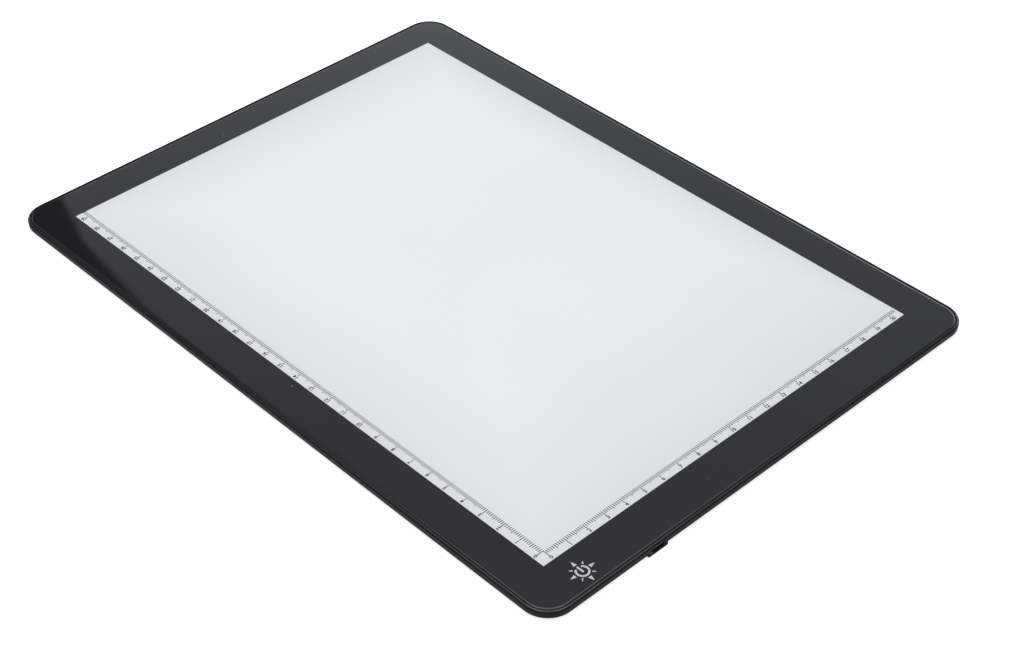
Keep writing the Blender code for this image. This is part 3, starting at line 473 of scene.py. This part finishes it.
def edge_section():
    """Section of the sheet's outer band: flat below, upright outside, softly rounded over the top."""
    low = SHEET_LOW.z
    points = [(0.0, low), (EDGE_BAND - EDGE_CHAMFER, low), (EDGE_BAND, low + EDGE_CHAMFER)]
    for k in range(EDGE_ROUND_STEPS + 1):
        share = 1 - (k / EDGE_ROUND_STEPS) ** 2
        drop = EDGE_CROWN_DROP * share ** 2 + EDGE_ROUND_DROP * (1 - math.sqrt(1 - share ** EDGE_ROUND_POWER))
        points.append((EDGE_BAND - EDGE_ROUND_WIDTH * (1 - share), SHEET_TOP - drop))
    points.append((0.0, SHEET_TOP))
    curve = bpy.data.curves.new("edge_section", "CURVE")
    curve.dimensions = "3D"
    line = curve.splines.new("POLY")
    line.points.add(len(points) - 1)
    for spot, (out, up) in zip(line.points, points):
        spot.co = (out, -up, 0.0, 1.0)
    line.use_cyclic_u = True
    made = bpy.data.objects.new("edge_section", curve)
    bpy.context.scene.collection.objects.link(made)
    return made


def make_sheet():
    """The sheet in three finishes: its polished edge, the black printed border and the white window."""
    section = edge_section()
    size = SHEET_HIGH - SHEET_LOW
    corner = PAD_CORNER - (SHEET_LOW.x - PAD_LOW.x) - EDGE_BAND
    band = grown(swept_edge_tree(), "sheet_edge", {
        "Width": size.x - 2 * EDGE_BAND, "Length": size.y - 2 * EDGE_BAND, "Corner": corner,
        "Corner Steps": CORNER_STEPS, "Section": section, "Finish": EDGE_FINISH})
    bpy.data.objects.remove(section, do_unlink=True)
    bm = bmesh.new()
    bm.from_mesh(band)
    bmesh.ops.remove_doubles(bm, verts=bm.verts, dist=WELD)
    piece("sheet_edge", bm, EDGE_FINISH, "clear_acrylic", "front_panel")

    half_x = size.x / 2 - EDGE_BAND - corner
    half_y = size.y / 2 - EDGE_BAND - corner
    corners = ((half_x, half_y, 0), (-half_x, half_y, 90), (-half_x, -half_y, 180), (half_x, -half_y, 270))
    hole = ((WINDOW_HIGH.x, WINDOW_HIGH.y), (WINDOW_LOW.x, WINDOW_HIGH.y),
            (WINDOW_LOW.x, WINDOW_LOW.y), (WINDOW_HIGH.x, WINDOW_LOW.y))
    bm = bmesh.new()
    levels = []
    for z in (SHEET_LOW.z, SHEET_TOP):
        outer = [[bm.verts.new((x, y, z))
                  for x, y in arc(cx, cy, corner, start, start + 90, CORNER_STEPS + 1)]
                 for cx, cy, start in corners]
        inner = [bm.verts.new((x, y, z)) for x, y in hole]
        for k in range(4):
            m = (k + 1) % 4
            for a, b in zip(outer[k], outer[k][1:]):
                bm.faces.new((inner[k], a, b))
            bm.faces.new((inner[k], outer[k][-1], outer[m][0], inner[m]))
        levels.append(([v for turn in outer for v in turn], inner))
    for lower, upper in zip(*levels):
        for i in range(len(lower)):
            j = (i + 1) % len(lower)
            bm.faces.new((lower[i], lower[j], upper[j], upper[i]))
    piece("border_print", bm, BORDER_FINISH, "black_ink", "front_panel")

    bm = bmesh.new()
    prism(bm, hole, SHEET_LOW.z, SHEET_TOP)
    piece("window_face", bm, WINDOW_FINISH, "white_film", "front_panel")


# Prints on the sheet


def make_ticks():
    """The two scales' ticks. The side scale is the front one turned and mirrored."""
    tree = ticks_tree()
    height = INK_SUNK + INK_PROUD
    middle = SHEET_TOP + (INK_PROUD - INK_SUNK) / 2
    zero_x = WINDOW_LOW.x + SCALE_ZERO[0]
    zero_y = WINDOW_LOW.y + SCALE_ZERO[1]
    along_front = Matrix.Translation((zero_x, WINDOW_LOW.y + SCALE_LINE, middle))
    quarter = Matrix.Rotation(math.pi / 2, 4, "Z")
    mirror = Matrix.Scale(-1, 4, (0, 1, 0))
    along_side = Matrix.Translation((WINDOW_LOW.x + SCALE_LINE, zero_y, middle)) @ quarter @ mirror
    short, middle_length, long = TICK_LENGTHS
    for name, count, pitch, place in (("front_scale_ticks", FRONT_TICKS, FRONT_PITCH, along_front),
                                      ("side_scale_ticks", SIDE_TICKS, SIDE_PITCH, along_side)):
        mesh = grown(tree, name, {
            "Ticks": count, "Pitch": pitch, "Short": short, "Middle": middle_length, "Long": long,
            "Stroke": TICK_STROKE, "Thickness": height, "Finish": SCALE_FINISH})
        bm = bmesh.new()
        bm.from_mesh(mesh)
        bm.transform(place)
        piece(name, bm, SCALE_FINISH, "black_ink")


def number_mesh(word):
    """A printed number, its middle at zero and its foot on the line, as a thin plate."""
    curve = bpy.data.curves.new("number", "FONT")
    curve.body = word
    curve.align_x = "CENTER"
    curve.size = NUMBER_HEIGHT / FIGURE_SHARE
    curve.offset = NUMBER_WEIGHT
    curve.resolution_u = 3
    curve.extrude = (INK_SUNK + INK_PROUD) / 2
    made = bpy.data.objects.new("number", curve)
    bpy.context.scene.collection.objects.link(made)
    return evaluated(made)


def make_numbers():
    """A plain number at each tenth tick of both scales."""
    middle = SHEET_TOP + (INK_PROUD - INK_SUNK) / 2
    for name, last, pitch in (("front_scale_numbers", FRONT_TICKS // 10, FRONT_PITCH),
                              ("side_scale_numbers", SIDE_TICKS // 10, SIDE_PITCH)):
        bm = bmesh.new()
        for value in range(last + 1):
            mesh = number_mesh(str(value))
            one = bmesh.new()
            one.from_mesh(mesh)
            bmesh.ops.remove_doubles(one, verts=one.verts, dist=WELD)
            run = 10 * pitch * value
            if name.startswith("front"):
                place = Matrix.Translation((WINDOW_LOW.x + SCALE_ZERO[0] + run,
                                            WINDOW_LOW.y + FRONT_NUMBER_FROM_EDGE, middle))
            else:
                place = Matrix.Translation((WINDOW_LOW.x + SIDE_NUMBER_FROM_EDGE,
                                            WINDOW_LOW.y + SCALE_ZERO[1] + run, middle))
                place = place @ Matrix.Rotation(math.pi / 2, 4, "Z")
            one.transform(place)
            one.to_mesh(mesh)
            one.free()
            bm.from_mesh(mesh)
        piece(name, bm, SCALE_FINISH, "black_ink")


def make_sign():
    """The touch key's sign: a broken ring with a bar, and eight rays round it."""
    low = SHEET_TOP - INK_SUNK
    high = SHEET_TOP + INK_PROUD
    cx = WINDOW_LOW.x + SIGN_FROM_WINDOW[0]
    cy = WINDOW_LOW.y + SIGN_FROM_WINDOW[1]
    half = SIGN_HALF_STROKE
    start = 90 + SIGN_GAP
    end = 450 - SIGN_GAP
    ends = [(cx + SIGN_RING * math.cos(math.radians(a)), cy + SIGN_RING * math.sin(math.radians(a)))
            for a in (start, end)]
    bm = bmesh.new()
    ring = arc(cx, cy, SIGN_RING + half, start, end, RING_STEPS)
    ring += arc(*ends[1], half, end, end + 180, CAP_STEPS)[1:-1]
    ring += arc(cx, cy, SIGN_RING - half, end, start, RING_STEPS)
    ring += arc(*ends[0], half, start + 180, start + 360, CAP_STEPS)[1:-1]
    prism(bm, ring, low, high)
    foot = cy + SIGN_BAR[0]
    head = cy + SIGN_BAR[1]
    prism(bm, arc(cx, head, half, 0, 180, CAP_STEPS) + arc(cx, foot, half, 180, 360, CAP_STEPS), low, high)
    for k in range(SIGN_RAYS):
        shape = SIGN_DART if k % 2 else SIGN_ARROW
        turn = Matrix.Rotation(2 * math.pi / SIGN_RAYS * k, 2)
        prism(bm, [tuple(Vector((cx, cy)) + turn @ (Vector(p) * MM)) for p in shape], low, high)
    piece("key_sign", bm, SIGN_FINISH, "black_ink")


# Tray, feet, inlet and inner pieces


def dress_nodes():
    """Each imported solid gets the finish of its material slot."""
    for part in frame["record"]["subparts"]:
        for place in NODES[part["node"]].material_slots:
            place.material = FINISHES[part["material_slot"]]


def make_tray():
    """Smooth copies of the tray, the inlet and the feet, which show from outside."""
    smooth_copy("rear_cover", "tray", FINISHES["black_abs"], "black_abs")
    smooth_copy("usb_socket_shell", "inlet_shell", FINISHES["plated_steel"], "plated_steel")
    smooth_copy("usb_socket_tongue", "inlet_tongue", FINISHES["black_mould"], "black_mould")
    for node in sorted(NODES):
        if node.startswith("foot_"):
            smooth_copy(node, "rubber_" + node, FINISHES["black_rubber"], "black_rubber")


# Floor, world, lamp and camera

FLOOR_HALF = 4.0
PAPER = "#E6E6E6"
PAPER_LIFT = 0.74
# Painted reflection: what gloss sees of the paper is painted pale before the pad and dim beyond it. It fades
# from the pad's middle on
PAINTED_REFLECTION_BEFORE = "#A8A8A8"
PAINTED_REFLECTION_BEYOND = "#3A3A3A"
BEYOND_WAY = (0.66, 0.75, 0.0)
BEYOND_REACH = 120 * MM
# The part of the paper that only the underside mirrors ends this far inside the pad's sides
UNDER_MARGIN = 2 * MM

# The world's plain light on the object
WORLD_LEVEL = 0.62
# The bright sweep that gloss sees, by the height of the direction: its two ends, and the tones between them
SWEEP_LOW = (0.30, 0.12)
SWEEP_HIGH = (1.0, 0.5)
SWEEP_TONES = ((0.38, 1.2), (0.43, 2.1), (0.48, 1.6), (0.52, 0.93), (0.56, 0.7), (0.60, 0.57), (0.66, 0.51))
SWEEP_TINT = (0.95, 0.98, 1.07)
# Beside the sweep lies a dark gap. The sweep's edge leans over a little above the height of the knee
KNEE_HEIGHT = 0.588
KNEE_LEAN = 0.136
SWEEP_EDGE = (0.3885, 0.3925)
GAP_EDGE = (0.24, 0.32)
GAP_LEVEL = 0.1
BESIDE_LEVEL = 0.9
# The room behind the camera is dim
ROOM_WAY = (-0.65, -0.72, -0.25)
ROOM_EDGE = (0.25, 0.5)
ROOM_LEVEL = 0.22
# Along each axis of the direction, where the light changes, the levels before and after, and how it changes
SWEEP_CHANGES = (
    # The side that is lit most
    ("X", 0.5, 0.65, 1.0, 1.1, "LINEAR"),
    # A bright strip at its far end
    ("X", 0.68, 0.74, 1.0, 2.4, "SMOOTHSTEP"),
    # The dimmer left
    ("X", -0.2, 0.1, 0.4, 1.0, "SMOOTHSTEP"),
    # The dim room before the short edge
    ("Y", -0.25, 0.1, 0.28, 1.0, "LINEAR"))
# A ring of light round the zenith, by height
RING_LOW = 0.76
RING_HIGH = 0.985
RING_TONES = ((0.79, 0.9), (0.85, 1.1), (0.88, 3.4), (0.97, 3.4))
# The even light that gloss sees from below
BELOW_FROM = -0.1
BELOW_LEVEL = 0.45

LAMP_PLACE = Vector((-0.25, 0.1, 1.5))
LAMP_SIZE = 1.1
LAMP_WATTS = 14.0

CAMERA_EYE = Vector((-475.83, -525.68, 552.34)) * MM
CAMERA_TARGET = Vector((-22.26, -44.44, 5.5)) * MM
CAMERA_LEAN = math.radians(0.377)
CAMERA_LENS = 72.98
CAMERA_SENSOR = 36.0


def make_floor():
    """Pale paper that keeps the pad's shadow and is lifted to white for the camera."""
    bm = bmesh.new()
    edge = FLOOR_HALF
    corners = ((-edge, -edge), (edge, -edge), (edge, edge), (-edge, edge))
    bm.faces.new([bm.verts.new((x, y, 0.0)) for x, y in corners])
    mesh = bpy.data.meshes.new("floor")
    bm.to_mesh(mesh)
    bm.free()
    floor = bpy.data.objects.new("floor", mesh)
    bpy.context.scene.collection.objects.link(floor)
    made = bpy.data.materials.new("white_paper_floor")
    made.use_nodes = True
    tree = made.node_tree
    tree.nodes.clear()
    seen = add(tree, "ShaderNodeLightPath")
    beyond = add(tree, "ShaderNodeVectorMath", {0: place_on(tree), 1: BEYOND_WAY}, operation="DOT_PRODUCT")
    depth = add(tree, "ShaderNodeMapRange", {
        "Value": beyond.outputs["Value"], "From Min": 0.0, "From Max": BEYOND_REACH})
    # Painted reflection: gloss sees the paper pale before the pad and dim beyond it, while other rays see it
    # even
    mirrored = add(tree, "ShaderNodeMix", {
        "Factor": depth.outputs["Result"], "A": colour(PAINTED_REFLECTION_BEFORE), "B": colour(PAINTED_REFLECTION_BEYOND)},
        data_type="RGBA")
    tone = add(tree, "ShaderNodeMix", {
        "Factor": seen.outputs["Is Glossy Ray"], "A": colour(PAPER), "B": mirrored.outputs["Result"]},
        data_type="RGBA")
    paper = add(tree, "ShaderNodeBsdfDiffuse", {"Color": tone.outputs["Result"]})
    lift = add(tree, "ShaderNodeMath", {0: seen.outputs["Is Camera Ray"], 1: PAPER_LIFT},
               operation="MULTIPLY")
    glow = add(tree, "ShaderNodeEmission", {"Strength": lift.outputs["Value"]})
    both = add(tree, "ShaderNodeAddShader", {0: paper.outputs["BSDF"], 1: glow.outputs["Emission"]})
    # From below the paper is clear, and the world's light reaches the underside, so that it can be looked at
    facing = add(tree, "ShaderNodeNewGeometry")
    through = add(tree, "ShaderNodeMath", {
        0: facing.outputs["Backfacing"], 1: seen.outputs["Is Diffuse Ray"]}, operation="MAXIMUM")
    # Right under the pad it is clear to gloss as well, because only the underside mirrors that part
    spot = add(tree, "ShaderNodeVectorMath", {0: place_on(tree)}, operation="ABSOLUTE")
    sides = add(tree, "ShaderNodeSeparateXYZ", {"Vector": spot.outputs["Vector"]})
    under = seen.outputs["Is Glossy Ray"]
    for side, half in (("X", PAD_HIGH.x), ("Y", PAD_HIGH.y)):
        within = add(tree, "ShaderNodeMath", {0: sides.outputs[side], 1: half - UNDER_MARGIN},
                     operation="LESS_THAN")
        both_ways = add(tree, "ShaderNodeMath", {0: under, 1: within.outputs["Value"]}, operation="MULTIPLY")
        under = both_ways.outputs["Value"]
    through = add(tree, "ShaderNodeMath", {0: through.outputs["Value"], 1: under}, operation="MAXIMUM")
    clear = add(tree, "ShaderNodeBsdfTransparent")
    sided = add(tree, "ShaderNodeMixShader", {
        0: through.outputs["Value"], 1: both.outputs["Shader"], 2: clear.outputs["BSDF"]})
    add(tree, "ShaderNodeOutputMaterial", {"Surface": sided.outputs["Shader"]})
    mesh.materials.append(made)


def make_world():
    """White to the camera and plain to the object. Gloss sees a studio of its own.

    That is a bright sweep beyond the pad, a dark gap beside it, a dim room by the camera, an even light for
    the underside, and a ring of light round the zenith, which draws thin lines on the near sides' edges.
    """
    world = bpy.data.worlds.new("studio")
    bpy.context.scene.world = world
    world.use_nodes = True
    tree = world.node_tree
    tree.nodes.clear()
    way = add(tree, "ShaderNodeTexCoord").outputs["Generated"]
    axes = add(tree, "ShaderNodeSeparateXYZ", {"Vector": way}).outputs
    sweep = add(tree, "ShaderNodeValToRGB", {"Fac": axes["Z"]})
    for end, (height, level) in zip(sweep.color_ramp.elements, (SWEEP_LOW, SWEEP_HIGH)):
        end.position = height
        end.color = (level, level, level, 1.0)
    for height, level in SWEEP_TONES:
        sweep.color_ramp.elements.new(height).color = (*[level * share for share in SWEEP_TINT], 1.0)

    knee = add(tree, "ShaderNodeMapRange", {
        "Value": axes["Z"], "From Min": KNEE_HEIGHT, "From Max": 1.0, "To Min": 0.0, "To Max": KNEE_LEAN})
    past = add(tree, "ShaderNodeMath", {0: axes["X"], 1: knee.outputs["Result"]}, operation="SUBTRACT")
    edge = add(tree, "ShaderNodeMapRange", {
        "Value": past.outputs["Value"], "From Min": SWEEP_EDGE[0], "From Max": SWEEP_EDGE[1],
        "To Min": GAP_LEVEL, "To Max": 1.0}, interpolation_type="SMOOTHSTEP")
    beside = add(tree, "ShaderNodeMapRange", {
        "Value": axes["X"], "From Min": GAP_EDGE[0], "From Max": GAP_EDGE[1],
        "To Min": BESIDE_LEVEL, "To Max": GAP_LEVEL}, interpolation_type="SMOOTHSTEP")
    gap = add(tree, "ShaderNodeMath", {0: edge.outputs["Result"], 1: beside.outputs["Result"]},
              operation="MAXIMUM")
    behind = add(tree, "ShaderNodeVectorMath", {0: way, 1: ROOM_WAY}, operation="DOT_PRODUCT")
    room = add(tree, "ShaderNodeMapRange", {
        "Value": behind.outputs["Value"], "From Min": ROOM_EDGE[0], "From Max": ROOM_EDGE[1],
        "To Min": 1.0, "To Max": ROOM_LEVEL}, interpolation_type="SMOOTHSTEP")
    dimmed = add(tree, "ShaderNodeMath", {0: gap.outputs["Value"], 1: room.outputs["Result"]},
                 operation="MULTIPLY")
    for axis, near, far, before, after, kind in SWEEP_CHANGES:
        change = add(tree, "ShaderNodeMapRange", {
            "Value": axes[axis], "From Min": near, "From Max": far, "To Min": before, "To Max": after},
            interpolation_type=kind)
        dimmed = add(tree, "ShaderNodeMath", {0: dimmed.outputs["Value"], 1: change.outputs["Result"]},
                     operation="MULTIPLY")
    lit_sweep = add(tree, "ShaderNodeVectorMath", {0: sweep.outputs["Color"], 1: dimmed.outputs["Value"]},
                    operation="MULTIPLY")

    ring = add(tree, "ShaderNodeValToRGB", {"Fac": axes["Z"]})
    for end, height in zip(ring.color_ramp.elements, (RING_LOW, RING_HIGH)):
        end.position = height
        end.color = (0.0, 0.0, 0.0, 1.0)
    for height, level in RING_TONES:
        ring.color_ramp.elements.new(height).color = (level, level, level, 1.0)
    below = add(tree, "ShaderNodeMapRange", {
        "Value": axes["Z"], "From Min": BELOW_FROM, "From Max": 0.0, "To Min": BELOW_LEVEL, "To Max": 0.0})
    above = add(tree, "ShaderNodeVectorMath", {0: lit_sweep.outputs["Vector"], 1: ring.outputs["Color"]})
    gloss = add(tree, "ShaderNodeVectorMath", {0: above.outputs["Vector"], 1: below.outputs["Result"]})

    seen = add(tree, "ShaderNodeLightPath").outputs
    mirrored = add(tree, "ShaderNodeMath", {0: seen["Is Glossy Ray"], 1: seen["Is Transmission Ray"]},
                   operation="MAXIMUM")
    plain = (WORLD_LEVEL, WORLD_LEVEL, WORLD_LEVEL, 1.0)
    lit = add(tree, "ShaderNodeMix", {
        "Factor": mirrored.outputs["Value"], "A": plain, "B": gloss.outputs["Vector"]}, data_type="RGBA")
    shown = add(tree, "ShaderNodeMix", {
        "Factor": seen["Is Camera Ray"], "A": lit.outputs["Result"], "B": (1.0, 1.0, 1.0, 1.0)},
        data_type="RGBA")
    sky = add(tree, "ShaderNodeBackground", {"Color": shown.outputs["Result"], "Strength": 1.0})
    add(tree, "ShaderNodeOutputWorld", {"Surface": sky.outputs["Background"]})


def make_lamp():
    """A soft square lamp over the pad. Gloss doesn't mirror it, since the world holds what gloss sees."""
    light = bpy.data.lights.new("overhead_softbox", "AREA")
    light.size = LAMP_SIZE
    light.energy = LAMP_WATTS
    made = bpy.data.objects.new("overhead_softbox", light)
    made.visible_glossy = False
    turn = (-LAMP_PLACE).to_track_quat("-Z", "Y").to_matrix().to_4x4()
    made.matrix_world = Matrix.Translation(LAMP_PLACE) @ turn
    bpy.context.scene.collection.objects.link(made)


def make_camera():
    """The photograph's view: from over the corner by the key, looking down some forty degrees."""
    lens = bpy.data.cameras.new("camera")
    lens.lens = CAMERA_LENS
    lens.sensor_width = CAMERA_SENSOR
    lens.clip_start = 0.01
    lens.clip_end = 20.0
    made = bpy.data.objects.new("camera", lens)
    turn = (CAMERA_TARGET - CAMERA_EYE).to_track_quat("-Z", "Y").to_matrix().to_4x4()
    made.matrix_world = Matrix.Translation(CAMERA_EYE) @ turn @ Matrix.Rotation(-CAMERA_LEAN, 4, "Z")
    bpy.context.scene.collection.objects.link(made)
    bpy.context.scene.camera = made


make_camera()
dress_nodes()
make_sheet()
make_ticks()
make_numbers()
make_sign()
make_tray()
make_floor()
make_world()
make_lamp()
bpy.context.scene.view_settings.view_transform = "Standard"
